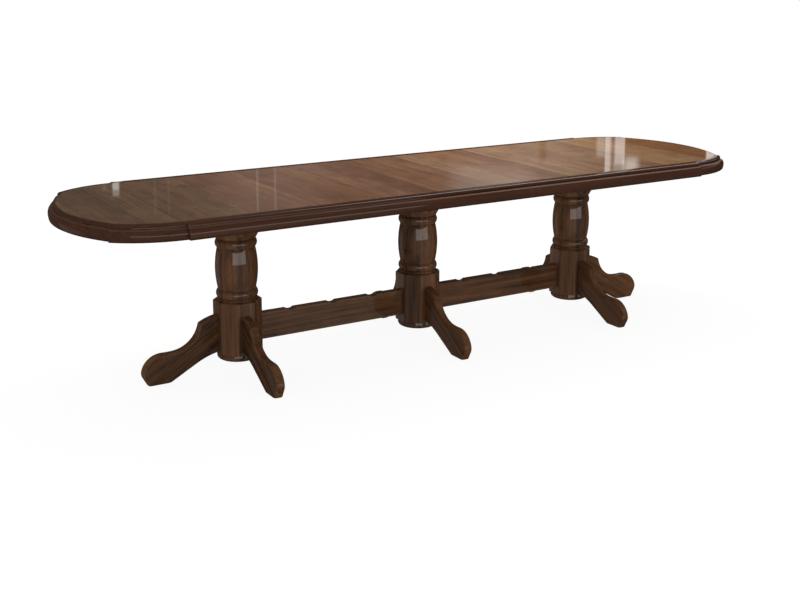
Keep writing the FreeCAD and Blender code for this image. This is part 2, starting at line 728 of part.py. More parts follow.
def rack(side):
    """A half's rack bar: a batten under the panel with a toothed lip beside the pinion."""
    face_y = PITCH_RADIUS + TOOTH_ROOT
    back_y = face_y + RACK_WIDTH
    lip_low = RAIL_BOTTOM + RACK_LIFT
    lip_high = RAIL_BOTTOM + PINION_BOSS + PINION_WIDTH + RACK_FACE_OVERLAP
    clear_y = max(face_y, AXLE_HEAD_RADIUS) + GEAR_MODULE
    x_low = -RACK_SPARE
    x_high = SEAM + RACK_FIXING
    lip = box((x_low, face_y, lip_low), (x_high, back_y, lip_high))
    batten = box((x_low, clear_y, lip_low), (x_high, back_y, PANEL_BOTTOM))
    pitch = math.pi * GEAR_MODULE
    slope = math.tan(math.radians(PRESSURE_ANGLE))
    half_pitch_line = (pitch / 2 - BACKLASH) / 2
    root_half = half_pitch_line + TOOTH_ROOT * slope
    tip_half = half_pitch_line - GEAR_MODULE * slope
    tip_y = PITCH_RADIUS - GEAR_MODULE
    first = math.ceil((x_low + root_half) / pitch)
    last = math.floor((SEAM + RACK_SPARE - root_half) / pitch)
    teeth = []
    for k in range(first, last + 1):
        x = k * pitch
        corners = [V(x - root_half, face_y, lip_low), V(x - tip_half, tip_y, lip_low),
                   V(x + tip_half, tip_y, lip_low), V(x + root_half, face_y, lip_low)]
        teeth.append(polygon(corners).extrude(V(0, 0, lip_high - lip_low)))
    bar = batten.fuse([lip] + teeth).removeSplitter()
    if side < 0:
        bar = turned(bar, 180)
    bar = mirrored(bar, V(0, 1, 0))
    for hole in rack_screws(side, FIT_CLEARANCE):
        bar = bar.cut(hole)
    return bar


def rack_screws(side, room=0.0):
    """Screws up through a rack bar into its half's panel."""
    y = -side * (PITCH_RADIUS + TOOTH_ROOT + RACK_WIDTH / 2)
    first = SEAM + SCREW_EDGE
    last = SEAM + RACK_FIXING - SCREW_EDGE
    places = [first + (last - first) * k / 2 for k in range(3)]
    length = RAIL_HEIGHT - RACK_LIFT + SCREW_BITE
    return [wood_screw(V(side * x, y, RAIL_BOTTOM + RACK_LIFT), length, room) for x in places]


# Lever locks under the seams
def lever_top():
    return PANEL_BOTTOM - LEVER_CLEARANCE


def lock_screw(x, y, radius):
    """A round-headed post under a panel, its head below the lever."""
    head_top = lever_top() - LEVER_THICKNESS - LEVER_CLEARANCE
    shank = rod(radius, V(x, y, head_top), V(x, y, PANEL_BOTTOM + LOCK_SHANK_IN))
    head = rod(LOCK_HEAD_RADIUS, V(x, y, head_top - LOCK_HEAD_HEIGHT), V(x, y, head_top))
    return shank.fuse(head).removeSplitter()


def lock_hole(x, y, radius):
    """The hole in a panel for such a post's shank."""
    return rod(radius + FIT_CLEARANCE, V(x, y, PANEL_BOTTOM), V(x, y, PANEL_BOTTOM + LOCK_SHANK_IN))


def lock_pivot(side, face):
    return (side * (SEAM + SEAM_GAP + LOCK_SETBACK), face * LOCK_Y)


def lock_keeper(side, face):
    return (side * (SEAM - LOCK_SETBACK), face * LOCK_Y)


def lever(side, face):
    """A hook plate on its pivot, at rest swung in along the seam, under its half alone."""
    reach = 2 * LOCK_SETBACK + SEAM_GAP
    half = LEVER_WIDTH / 2
    low = lever_top() - LEVER_THICKNESS
    slot = KEEPER_RADIUS + LEVER_CLEARANCE
    edges = [
        line(V(0, -half, low), V(reach, -half, low)),
        arc(V(reach, -half, low), V(reach + half, 0, low), V(reach, half, low)),
        line(V(reach, half, low), V(0, half, low)),
        arc(V(0, half, low), V(-half, 0, low), V(0, -half, low)),
    ]
    plate = Part.Face(wire_of(edges)).extrude(V(0, 0, LEVER_THICKNESS))
    plate = plate.cut(rod(LOCK_SHANK_RADIUS + AXLE_CLEARANCE, V(0, 0, low), V(0, 0, low + LEVER_THICKNESS)))
    rise = V(0, 0, LEVER_THICKNESS)
    seat = rod(slot, V(reach, 0, low), V(reach, 0, low) + rise)
    middle = V(0, 0, low)
    swing = rod(reach + slot, middle, middle + rise).cut(rod(reach - slot, middle, middle + rise))
    mouth = swing.common(box((0, 0, low), (reach + slot, LEVER_WIDTH, low + LEVER_THICKNESS)))
    plate = plate.cut(seat.fuse(mouth))
    if side * face > 0:
        plate = mirrored(plate, V(0, 1, 0))
    x, y = lock_pivot(side, face)
    return moved(turned(plate, -90 * face), x, y)


def build_base():
    leg_angles = {"left": {"front": 270, "back": 90, "end": 180},
                  "middle": {"front": 270, "back": 90},
                  "right": {"front": 270, "back": 90, "end": 0}}
    tenon_sides = {"left": [1], "middle": [-1, 1], "right": [-1]}
    one_leg = leg()
    one_column = column()
    dowels = []
    coach = []
    screws = []
    for name, x in PEDESTALS.items():
        angles = leg_angles[name]
        save("hub_" + name, moved(hub(tenon_sides[name], angles.values()), x))
        save("column_" + name, moved(one_column, x))
        save("bolster_" + name, moved(bolster(name == "middle"), x))
        for place, angle in angles.items():
            save("leg_" + name + "_" + place, moved(turned(one_leg, angle), x))
            dowels += [moved(turned(dowel, angle), x) for dowel in leg_dowels(0)]
        shanks_heads = zip(coach_screws(COACH_RADIUS), coach_heads(COACH_HEAD_RADIUS))
        coach += [moved(shank.fuse(head).removeSplitter(), x) for shank, head in shanks_heads]
        screws += rail_screws(x)
    save("leg_dowels", group(dowels))
    save("bolster_screws", group(coach))
    save("rail_screws", group(screws))
    span = stretcher()
    save("stretcher_right", span)
    save("stretcher_left", moved(span, -PEDESTAL_SPACING))
    for name, face in FACES.items():
        save("fixed_rail_" + name, fixed_rail(face * RAIL_Y))
    save("pinion_axle", pinion_axle())
    save("pinion", pinion())


def build_half(name, side):
    """One end of the top, with its slides, rack, pins and locks; the left one's outline is mirrored."""
    def placed(shape):
        return shape if side > 0 else mirrored(shape, V(1, 0, 0))

    panel = placed(end_panel())
    for y in pin_places(side):
        panel = panel.cut(pin(side, y, PIN_RADIUS + FIT_CLEARANCE, PIN_IN))
    for y in pin_places(-side):
        panel = panel.cut(pin_slot(side * (SEAM + SEAM_GAP), side, y))
    screws = rack_screws(side)
    screw_holes = rack_screws(side, FIT_CLEARANCE)
    pivots = []
    for face_name, face in FACES.items():
        save(name + "_" + face_name + "_slide", slide(side, face))
        save(name + "_" + face_name + "_lever", lever(side, face))
        screws += slide_screws(side, face)
        screw_holes += slide_screws(side, face, FIT_CLEARANCE)
        x, y = lock_pivot(side, face)
        panel = panel.cut(lock_hole(x, y, LOCK_SHANK_RADIUS))
        pivots.append(lock_screw(x, y, LOCK_SHANK_RADIUS))
    for hole in screw_holes:
        panel = panel.cut(hole)
    save(name + "_panel", panel)
    save(name + "_rack", rack(side))
    save(name + "_pins", group([pin(side, y, PIN_RADIUS, PIN_IN) for y in pin_places(side)]))
    save(name + "_screws", group(screws))
    save(name + "_lock_pivots", group(pivots))
    side_length = placed(side_moulding(SEAM + SEAM_GAP, HALF_SIDE))
    corner = placed(corner_moulding())
    save(name + "_back_moulding", side_length)
    save(name + "_front_moulding", mirrored(side_length, V(0, 1, 0)))
    save(name + "_back_corner", corner)
    save(name + "_front_corner", mirrored(corner, V(0, 1, 0)))
    save(name + "_end_moulding", placed(end_moulding()))


def build_leaf():
    panel = leaf_panel()
    keepers = []
    for side in SIDES.values():
        for y in pin_places(side):
            panel = panel.cut(pin_slot(side * SEAM, -side, y))
        for face in FACES.values():
            x, y = lock_keeper(side, face)
            panel = panel.cut(lock_hole(x, y, KEEPER_RADIUS))
            keepers.append(lock_screw(x, y, KEEPER_RADIUS))
    moulding = side_moulding(-SEAM, SEAM)
    save("leaf_panel", panel)
    save("leaf_keepers", group(keepers))
    save("leaf_back_moulding", moulding)
    save("leaf_front_moulding", mirrored(moulding, V(0, 1, 0)))


os.makedirs("parts", exist_ok=True)
build_base()
for half_name, half_side in SIDES.items():
    build_half(half_name, half_side)
build_leaf()
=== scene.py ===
"""The finished look of an extending pedestal table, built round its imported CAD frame."""

import json
import math

import bpy
from bpy.props import FloatProperty, FloatVectorProperty, PointerProperty
from bpy.types import Operator, Panel, PropertyGroup
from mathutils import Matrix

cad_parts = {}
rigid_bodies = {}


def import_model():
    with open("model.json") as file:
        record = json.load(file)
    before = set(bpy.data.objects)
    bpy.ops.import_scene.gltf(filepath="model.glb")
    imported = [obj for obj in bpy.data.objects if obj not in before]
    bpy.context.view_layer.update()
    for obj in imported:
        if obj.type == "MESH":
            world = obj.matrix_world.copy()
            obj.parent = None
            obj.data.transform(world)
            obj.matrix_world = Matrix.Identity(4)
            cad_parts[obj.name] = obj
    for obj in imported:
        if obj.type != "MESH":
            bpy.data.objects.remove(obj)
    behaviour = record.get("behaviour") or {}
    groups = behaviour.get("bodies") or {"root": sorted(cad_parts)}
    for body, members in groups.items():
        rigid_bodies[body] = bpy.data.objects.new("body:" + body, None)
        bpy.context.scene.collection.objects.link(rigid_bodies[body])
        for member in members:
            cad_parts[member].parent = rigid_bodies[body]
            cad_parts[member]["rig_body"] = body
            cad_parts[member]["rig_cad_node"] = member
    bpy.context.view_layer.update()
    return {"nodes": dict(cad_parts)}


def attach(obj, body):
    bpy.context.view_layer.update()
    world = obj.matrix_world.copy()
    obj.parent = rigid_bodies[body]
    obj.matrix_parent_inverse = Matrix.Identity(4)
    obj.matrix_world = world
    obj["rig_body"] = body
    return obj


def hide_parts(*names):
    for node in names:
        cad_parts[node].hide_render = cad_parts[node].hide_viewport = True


bl_info = {
    "name": "Extending table",
    "version": (1, 0, 0),
    "blender": (4, 5, 0),
    "location": "3D View > Sidebar > Table",
    "description": "Builds the finished look of an extending pedestal table",
    "category": "Object",
}

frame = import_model()
PEDESTAL_SPACING = 0.9

# Edge easing in metres, and the angles that tell an edge from a curve and a flat face from its neighbour
PANEL_EASE = 0.0008
MOULDING_EASE = 0.0006
TURNED_EASE = 0.0012
LEG_EASE = 0.0008
BOARD_EASE = 0.0015
RUNNER_EASE = 0.0008
METAL_EASE = 0.0003
EDGE_ANGLE = math.radians(32)
FLAT_ANGLE = math.radians(0.4)
MERGE_DISTANCE = 0.00001

# Round foot of a hub: height and radius of its upper rim, and the radius that the rim is turned in to
FOOT_TOP, FOOT_RADIUS, FOOT_NECK = 0.085, 0.0915, 0.0885
FOOT_MARGIN = 0.0005

# Noises of the woods and metals: how often they change across, across and along the grain, detail, distortion
STREAK = ((85.0, 85.0, 2.6), 4.0, 0.5)
BAND = ((8.0, 8.0, 0.5), 2.0, 0.3)
BOW = ((26.0, 26.0, 0.9), 3.0, 1.4)
PORE = ((620.0, 620.0, 15.0), 1.0, 0.0)
CLOUD = ((11.0, 11.0, 7.0), 3.0, 0.8)
FLECK = ((160.0, 60.0, 160.0), 2.0, 0.0)
SCRATCH = ((900.0, 900.0, 90.0), 2.0, 0.0)
BLOTCH = ((60.0, 60.0, 60.0), 3.0, 0.0)

# Figure of the woods: what each noise adds, where it is darkest and lightest, the pores, roughness and relief
STREAK_SHARE, BAND_SHARE, BOW_SHARE = 0.45, 0.25, 0.30
DARKEST, LIGHTEST = 0.28, 0.72
PORE_EDGE = (0.60, 0.72)
PORE_DEPTH = -0.38
WOOD_ROUGH = (0.3, 0.7, 0.30, 0.48)
WOOD_RELIEF, STREAK_RELIEF = 0.0003, 0.3

# Rubbed edges: the width that counts as an edge, how sharp it turns, where along the grain it is rubbed, how much
RUB_WIDTH = 0.004
RUB_TURN = (0.995, 0.88)
RUB_PATCH = (0.42, 0.62)
RUB_STRENGTH = 0.45

# Metals: what the blotches do to roughness and colour, and the depth of the scratches
BLOTCH_ROUGH = 0.25
BLOTCH_TONE = (0.35, 0.65, 0.8, 1.05)
SCRATCH_RELIEF = 0.0001

# Staves glued up into each pedestal, left, middle and right: tone of each, from the left side round by the front
STAVES = 8
STAVE_TONES = (
    (-0.06, 0.02, -0.07, -0.08, 0.03, -0.05, -0.01, 0.09),
    (-0.085, -0.10, 0.055, -0.05, 0.02, -0.08, 0.085, 0.065),
    (0.015, 0.03, -0.13, 0.0, -0.03, -0.085, 0.065, -0.005),
)

# Legs, with their painted shade: where the flat sides begin, the stretch that is shaded darker towards the hub, the
# sides' painted shade along the table, the further painted shade on legs that run across it, the grain's slope, and its
# shift from leg to leg
LEG_SIDE = (0.0180, 0.0197)
LEG_ROOT_SHADE = (0.10, 0.26, -0.05, 0.0)
LEG_SHADE_RUN = (-1.2, 1.2, -0.08, 0.09)
CROSS_LEG_SHADE = -0.08
LEG_SLOPE = 0.62
LEG_SHIFT = 3.1

# Edge moulding: heights of the groove and of the nose's underside, which get painted shade, and of the ledge, which
# gets a painted highlight, and how they change along the table
GROOVE_TOP, GROOVE_FOOT = (0.769, 0.764), (0.7583, 0.7587)
GROOVE_SHADE_RUN = (-1.45, 0.2, -0.05, -0.5)
NOSE_UNDER, UNDER_SHADE = (0.722, 0.714), -0.35
LEDGE_FOOT, LEDGE_TOP = (0.7535, 0.7550), (0.7586, 0.7582)
LEDGE_HIGHLIGHT_RUN = (-1.3, 0.5, 0.15, 0.8)

# Boards of the top, from left to right: tint of each
LEFT_BOARDS = ((0.49, 0.485, 0.445), (0.59, 0.57, 0.52), (0.68, 0.605, 0.57), (0.73, 0.63, 0.605), (0.90, 0.84, 0.89))
LEAF_BOARDS = ((0.62, 0.53, 0.55), (0.76, 0.675, 0.67), (0.86, 0.85, 0.86))
RIGHT_BOARDS = (
    (0.755, 0.645, 0.617), (0.925, 0.89, 0.885), (0.75, 0.715, 0.675), (0.82, 0.775, 0.65), (0.617, 0.464, 0.317))

# Panels of the top: left edge of the first board, width of a board, tints, and which edge of a board is paler
PANELS = (
    ("left_panel", -1.583, 0.288, LEFT_BOARDS, 1.0),
    ("leaf_panel", -0.467, 0.292, LEAF_BOARDS, 0.0),
    ("right_panel", 0.231, 0.294, RIGHT_BOARDS, -1.0),
)

# Boards and planks: colour, extent and flecks of a board's paler edge, and the planks' own tone, shift and joint
PALE_EDGE = (0.12, 0.155, 0.125)
PALE_SPAN = (0.45, 0.85)
FLECK_SPAN = (0.3, 0.65, 0.4, 1.0)
PLANK_SPREAD = 0.04
PLANK_SHIFT = 2.37
JOINT_SHADE = 0.45

# The room that the lacquer mirrors. Angles are in degrees, to the right of straight ahead or behind, and upwards.
WALL_AHEAD, WALL_LEFT, WALL_BEHIND = 0.03, 0.025, 0.16
LEFT_WALL = (-1.0, -6.0)
FRONT_TO_BACK = (-0.2, 0.2)
WINDOW = (-12.0, 62.0, -6.6, 8.4, 0.5)
WINDOW_BAR = (27.0, 30.0, -6.6, 8.4, 0.5)
BAR_SHADE = -0.5
SILL = (-12.0, 62.0, -26.0, -6.6, 0.5)
SILL_LIGHT = 0.13

# Light from ahead: left, right, bottom, top, softness and strength of each pane
PANES_AHEAD = (
    (12.0, 48.0, 33.0, 60.0, 3.0, 4.0),
    (40.0, 98.0, 12.0, 30.0, 3.0, 0.5),
    (-85.0, -57.0, -25.0, -5.0, 2.0, 0.20),
    (-9.0, -4.0, -5.0, 14.0, 1.5, 0.045),
    (3.0, 9.6, -5.0, 14.0, 1.2, 0.07),
    (5.5, 8.2, -5.0, 14.0, 0.5, 0.04),
    (6.9, 7.25, -5.0, 9.6, 0.12, -0.10),
    (2.6, 6.6, 9.9, 14.0, 0.7, 0.16),
    (9.70, 10.12, -5.0, 9.25, 0.10, 0.34),
    (10.12, 10.36, -5.0, 14.0, 0.04, 0.74),
    (10.36, 11.06, -5.0, 14.0, 0.04, 0.30),
    (10.44, 10.54, -5.0, 14.0, 0.03, -0.22),
    (10.60, 11.06, -5.0, 9.6, 0.04, 0.40),
    (11.06, 11.7, 9.25, 14.0, 0.22, 0.70),
    (14.92, 16.5, -5.0, 14.0, 0.05, 0.95),
    (-14.12, -13.81, 6.0, 10.7, 0.06, 0.45),
    (-14.12, -13.81, 6.0, 11.0, 0.06, 0.35),
    (-14.60, -14.40, 6.0, 10.7, 0.08, 0.08),
    (-12.15, -12.07, 8.0, 12.0, 0.05, 0.06),
    (-11.50, -11.40, 8.0, 12.0, 0.05, 0.05),
    (-7.16, -7.06, 8.0, 12.0, 0.05, 0.15),
    (-6.28, -6.18, 8.0, 12.0, 0.05, 0.13),
)

# Stage
WHITE = (1.0, 1.0, 1.0, 1.0)
MIRRORED_LIGHT = (1.0, 0.985, 0.97, 1.0)
SOFT_LIGHT = (1.0, 0.98, 0.96, 1.0)
FLOOR_SIZE = 60.0
FLOOR_COLOUR = (0.82, 0.81, 0.80, 1.0)
FLOOR_GLOW = 0.92
FLOOR_SHADOW = (0.12, 0.12, 0.12, 1.0)
LAMP_TILT = math.radians(12)
LAMP_SIZE = 1.2
LAMP_COLOUR = (1.0, 0.97, 0.93)
SENSOR_WIDTH = 36.0
FAR_CLIP = 200.0


def wood_colour(name, description, default):
    return FloatVectorProperty(name=name, description=description, subtype="COLOR", size=3, default=default)


class WoodSettings(PropertyGroup):
    """Colours and finish of the table's woods."""

    top_dark: wood_colour("Top dark", "Dark grain of the top", (0.126, 0.0715, 0.041))
    top_middle: wood_colour("Top middle", "Body colour of the top", (0.329, 0.188, 0.108))
    top_light: wood_colour("Top light", "Light grain of the top", (0.495, 0.299, 0.172))
    edge_dark: wood_colour("Edge dark", "Dark grain of the mouldings", (0.034, 0.0135, 0.008))
    edge_light: wood_colour("Edge light", "Light grain of the mouldings", (0.094, 0.038, 0.021))
    # The moulding's rubbed-edge colour also serves as the painted highlight on its ledge.
    edge_rub_and_highlight: wood_colour("Edge worn", "Rubbed corners of the mouldings", (0.26, 0.16, 0.12))
    base_dark: wood_colour("Pedestal dark", "Dark grain of the pedestals", (0.040, 0.020, 0.0115))
    base_light: wood_colour("Pedestal light", "Light grain of the pedestals", (0.23, 0.105, 0.047))
    run_dark: wood_colour("Slide dark", "Dark grain of the rails and slides", (0.12, 0.066, 0.033))
    run_light: wood_colour("Slide light", "Light grain of the rails and slides", (0.3, 0.19, 0.1))
    coat_roughness: FloatProperty(
        name="Lacquer roughness", description="Roughness of the gloss lacquer", default=0.02, min=0.0, max=1.0)
    joint_width: FloatProperty(
        name="Plank joint", description="Width of the dark line between planks", unit="LENGTH", default=0.0016)


class StageSettings(PropertyGroup):
    """Camera and light."""

    camera_place: FloatVectorProperty(
        name="Camera", description="Where the camera stands", subtype="XYZ", unit="LENGTH", size=3,
        default=(-2.7478, -4.4592, 1.7115))
    camera_pitch: FloatProperty(
        name="Pitch", description="How far the camera looks down", subtype="ANGLE", default=math.radians(10.27))
    camera_yaw: FloatProperty(
        name="Yaw", description="How far the camera is turned to the right", subtype="ANGLE",
        default=math.radians(30.749))
    lens: FloatProperty(name="Lens", description="Focal length in millimetres", default=52.383)
    shift: FloatProperty(name="Shift", description="Vertical lens shift", default=-0.1568)
    sky: FloatProperty(name="Soft light", description="Strength of the light from all round", default=0.75)
    lamp: FloatProperty(name="Lamp", description="Watts of the lamp above the far right", default=38.0)
    lamp_place: FloatVectorProperty(
        name="Lamp place", description="Where the lamp hangs", subtype="XYZ", unit="LENGTH", size=3,
        default=(1.2, 0.8, 2.45))
    window: FloatProperty(name="Window", description="Brightness of the window seen in the lacquer", default=1.9)


# Shader nodes
def add(tree, kind, sockets=None, **settings):
    """Adds a shader node; each socket is given a value, or an output to take it from."""
    node = tree.nodes.new(kind)
    for name, value in settings.items():
        setattr(node, name, value)
    for key, value in (sockets or {}).items():
        socket = node.inputs[key]
        if isinstance(value, bpy.types.NodeSocket):
            tree.links.new(value, socket)
        else:
            socket.default_value = value
    return node


def maths(tree, operation, first, second=0.0, third=0.0):
    return add(tree, "ShaderNodeMath", {0: first, 1: second, 2: third}, operation=operation).outputs[0]


def ramp(tree, value, low, high, to_low=0.0, to_high=1.0):
    """Smoothly maps value from low..high."""
    node = add(tree, "ShaderNodeMapRange", {0: value, 1: low, 2: high, 3: to_low, 4: to_high},
               interpolation_type="SMOOTHSTEP")
    return node.outputs[0]


def steps(tree, value, shades):
    """Gives each shade an equal share of value's way from 0 to 1, with hard changes between them."""
    node = add(tree, "ShaderNodeValToRGB", {0: value})
    node.color_ramp.interpolation = "CONSTANT"
    stops = node.color_ramp.elements
    stops[0].color = (*shades[0], 1.0)
    stops[1].position, stops[1].color = 1.0, (*shades[-1], 1.0)
    for k, shade in enumerate(shades[1:], 1):
        stops.new(k / len(shades)).color = (*shade, 1.0)
    return node.outputs[0]


def vector(tree, x, y, z):
    return add(tree, "ShaderNodeCombineXYZ", {0: x, 1: y, 2: z}).outputs[0]


def times(tree, first, second):
    """Multiplies two colours or vectors, one by one."""
    return add(tree, "ShaderNodeVectorMath", {0: first, 1: second}, operation="MULTIPLY").outputs[0]


def scaled(tree, colour, share):
    return add(tree, "ShaderNodeVectorMath", {0: colour, 3: share}, operation="SCALE").outputs[0]


def dot(tree, first, second):
    return add(tree, "ShaderNodeVectorMath", {0: first, 1: second}, operation="DOT_PRODUCT").outputs["Value"]


def mixed(tree, share, first, second):
    return add(tree, "ShaderNodeMix", {0: share, 6: first, 7: second}, data_type="RGBA").outputs[2]


def noise(tree, place, stretch, detail, distortion):
    """Noise with a size of its own along each way of the grain."""
    return add(tree, "ShaderNodeTexNoise", {
        "Vector": times(tree, place, stretch), "Scale": 1.0, "Detail": detail, "Distortion": distortion},
        noise_dimensions="3D").outputs["Fac"]


def object_place(tree):
    place = add(tree, "ShaderNodeTexCoord").outputs["Object"]
    split = add(tree, "ShaderNodeSeparateXYZ", {0: place}).outputs
    return split[0], split[1], split[2]


def local_x(tree, x):
    """The distance along the table from the nearest pedestal."""
    half = PEDESTAL_SPACING / 2
    folded = maths(tree, "FLOORED_MODULO", maths(tree, "ADD", x, half), PEDESTAL_SPACING)
    return maths(tree, "SUBTRACT", folded, half)


def new_material(name):
    material = bpy.data.materials.new(name)
    material.use_nodes = True
    material.node_tree.nodes.clear()
    return material, material.node_tree


# Finishes
def wood(name, grain, colours, coat, tone=None, tint=None, lines=None, figure=1.0, mottle=0.0, gloss=1.0,
         rub_and_highlight_colour=None, ledge=None):
    """A lacquered wood.

    grain(tree) gives the place across, across and along the grain. tone(tree) is added to the figure; on the legs it is
    painted shade. tint(tree) and lines(tree) multiply the colour; lines(tree) gives dark plank joints, or painted shade
    on the mouldings. ledge(tree) is the share of the rubbed-edge colour laid on as a painted highlight beyond the
    rubbed edges.
    figure and mottle are the contrast of the grain and of its clouds, gloss is the weight of the lacquer, and coat
    its roughness.
    """
    material, tree = new_material(name)
    place = grain(tree)
    streak = noise(tree, place, *STREAK)
    band = noise(tree, place, *BAND)
    bow = noise(tree, place, *BOW)
    pore = ramp(tree, noise(tree, place, *PORE), *PORE_EDGE)
    depth = maths(tree, "MULTIPLY_ADD", streak, STREAK_SHARE, maths(tree, "MULTIPLY", band, BAND_SHARE))
    depth = maths(tree, "MULTIPLY_ADD", bow, BOW_SHARE, depth)
    depth = maths(tree, "MULTIPLY_ADD", maths(tree, "SUBTRACT", depth, 0.5), figure, 0.5)
    if mottle:
        cloud = noise(tree, place, *CLOUD)
        depth = maths(tree, "MULTIPLY_ADD", maths(tree, "SUBTRACT", cloud, 0.5), mottle, depth)
    if tone:
        depth = maths(tree, "ADD", depth, tone(tree))
    stain = add(tree, "ShaderNodeValToRGB", {0: depth})
    stops = stain.color_ramp.elements
    for k, shade in enumerate(colours[1:-1], 1):
        stops.new(DARKEST + (LIGHTEST - DARKEST) * k / (len(colours) - 1)).color = (*shade, 1.0)
    stops[0].position, stops[0].color = DARKEST, (*colours[0], 1.0)
    stops[-1].position, stops[-1].color = LIGHTEST, (*colours[-1], 1.0)
    colour = stain.outputs[0]
    if tint:
        colour = times(tree, colour, tint(tree))
    shade = maths(tree, "MULTIPLY_ADD", pore, PORE_DEPTH, 1.0)
    if lines:
        shade = maths(tree, "MULTIPLY", shade, lines(tree))
    colour = scaled(tree, colour, shade)
    eased = add(tree, "ShaderNodeBevel", {0: RUB_WIDTH}, samples=4).outputs[0]
    turn = dot(tree, eased, add(tree, "ShaderNodeNewGeometry").outputs["Normal"])
    rub = maths(tree, "MULTIPLY", ramp(tree, turn, *RUB_TURN), ramp(tree, bow, *RUB_PATCH))
    wear_and_highlight = maths(tree, "MULTIPLY", rub, RUB_STRENGTH)
    # The ledge's share is a painted highlight in the rubbed-edge colour, on top of the real rubbing.
    if ledge:
        wear_and_highlight = maths(tree, "MAXIMUM", wear_and_highlight, ledge(tree))
    height = maths(tree, "MULTIPLY_ADD", pore, -1.0, maths(tree, "MULTIPLY", streak, STREAK_RELIEF))
    bump = add(tree, "ShaderNodeBump", {"Strength": 0.10, "Distance": WOOD_RELIEF, "Height": height}).outputs[0]
    shader = add(tree, "ShaderNodeBsdfPrincipled", {
        "Base Color": mixed(tree, wear_and_highlight, colour, (*(rub_and_highlight_colour or colours[-1]), 1.0)),
        "Roughness": ramp(tree, streak, *WOOD_ROUGH), "Normal": bump, "IOR": 1.5, "Specular IOR Level": 0.0,
        "Coat Weight": gloss, "Coat Roughness": coat, "Coat IOR": 1.5})
    add(tree, "ShaderNodeOutputMaterial", {0: shader.outputs[0]})
    return material


def metal(name, colour, rough):
    """Bright metal with fine scratches."""
    material, tree = new_material(name)
    place = vector(tree, *object_place(tree))
    scratch = noise(tree, place, *SCRATCH)
    blotch = noise(tree, place, *BLOTCH)
    bump = add(tree, "ShaderNodeBump", {"Strength": 0.15, "Distance": SCRATCH_RELIEF, "Height": scratch}).outputs[0]
    shader = add(tree, "ShaderNodeBsdfPrincipled", {
        "Base Color": scaled(tree, colour, ramp(tree, blotch, *BLOTCH_TONE)), "Metallic": 1.0,
        "Roughness": maths(tree, "MULTIPLY_ADD", blotch, BLOTCH_ROUGH, rough), "Normal": bump})
    add(tree, "ShaderNodeOutputMaterial", {0: shader.outputs[0]})
    return material


# Grain of each kind of piece
def grain_along_x(tree):
    x, y, z = object_place(tree)
    return vector(tree, y, z, x)


def grain_along_y(tree):
    x, y, z = object_place(tree)
    return vector(tree, x, z, y)


def grain_upright(tree):
    x, y, z = object_place(tree)
    return vector(tree, local_x(tree, x), y, z)


def grain_of_leg(tree):
    """Along a leg: outwards from its hub and sloping down, and different on each pedestal."""
    x, y, z = object_place(tree)
    along, across = maths(tree, "ABSOLUTE", local_x(tree, x)), maths(tree, "ABSOLUTE", y)
    out = maths(tree, "MAXIMUM", along, across)
    aside = maths(tree, "MINIMUM", along, across)
    lean = maths(tree, "MULTIPLY_ADD", out, LEG_SLOPE, z)
    return vector(tree, lean, aside, maths(tree, "MULTIPLY_ADD", x, LEG_SHIFT, out))


def plank(tree, x, start, pitch):
    """The place along the top counted in planks."""
    return maths(tree, "DIVIDE", maths(tree, "SUBTRACT", x, start), pitch)


def plank_grain(start, pitch):
    """Grain across the table in glued planks, each from another board."""
    def grain(tree):
        x, y, z = object_place(tree)
        number = maths(tree, "FLOOR", plank(tree, x, start, pitch))
        return vector(tree, x, maths(tree, "ADD", z, number), maths(tree, "MULTIPLY_ADD", number, PLANK_SHIFT, y))
    return grain


# Colour that changes over a piece
def staves(tree):
    """Tone that changes from stave to stave round a pedestal."""
    x, y, _ = object_place(tree)
    turn = maths(tree, "ARCTAN2", y, local_x(tree, x))
    count = maths(tree, "FLOOR", maths(tree, "MULTIPLY_ADD", turn, STAVES / math.tau, STAVES / 2 + 0.5))
    stave = maths(tree, "MODULO", count, STAVES)
    pedestal = maths(tree, "ROUND", maths(tree, "DIVIDE", x, PEDESTAL_SPACING))
    which = maths(tree, "MULTIPLY_ADD", pedestal, STAVES, stave)
    tones = [0.5 + tone for pedestal_tones in STAVE_TONES for tone in pedestal_tones]
    share = maths(tree, "DIVIDE", maths(tree, "ADD", which, STAVES + 0.5), len(tones))
    return maths(tree, "SUBTRACT", steps(tree, share, [(tone, tone, tone) for tone in tones]), 0.5)


def leg_painted_shade(tree):
    """Painted shade: darker next to the hub, and on the sides: most on legs that run across the table, and towards the
    left.
    """
    x, y, _ = object_place(tree)
    along, across = maths(tree, "ABSOLUTE", local_x(tree, x)), maths(tree, "ABSOLUTE", y)
    side = ramp(tree, maths(tree, "MINIMUM", along, across), *LEG_SIDE)
    root = ramp(tree, maths(tree, "MAXIMUM", along, across), *LEG_ROOT_SHADE)
    crosses = maths(tree, "GREATER_THAN", across, along)
    shade = maths(tree, "MULTIPLY_ADD", crosses, CROSS_LEG_SHADE, ramp(tree, x, *LEG_SHADE_RUN))
    return maths(tree, "MULTIPLY_ADD", side, shade, root)


def plank_tone(start, pitch):
    """A tone of its own for each plank."""
    def tone(tree):
        x, _, _ = object_place(tree)
        number = maths(tree, "FLOOR", plank(tree, x, start, pitch))
        pick = add(tree, "ShaderNodeTexWhiteNoise", {"W": number}, noise_dimensions="1D").outputs["Value"]
        return maths(tree, "MULTIPLY", maths(tree, "SUBTRACT", pick, 0.5), PLANK_SPREAD)
    return tone


def plank_lines(start, pitch, width):
    """Dark lines where planks meet."""
    def lines(tree):
        x, _, _ = object_place(tree)
        share = maths(tree, "FRACT", plank(tree, x, start, pitch))
        gap = maths(tree, "MULTIPLY", maths(tree, "PINGPONG", share, 0.5), pitch)
        return ramp(tree, gap, width / 2, width * 1.4, JOINT_SHADE, 1.0)
    return lines


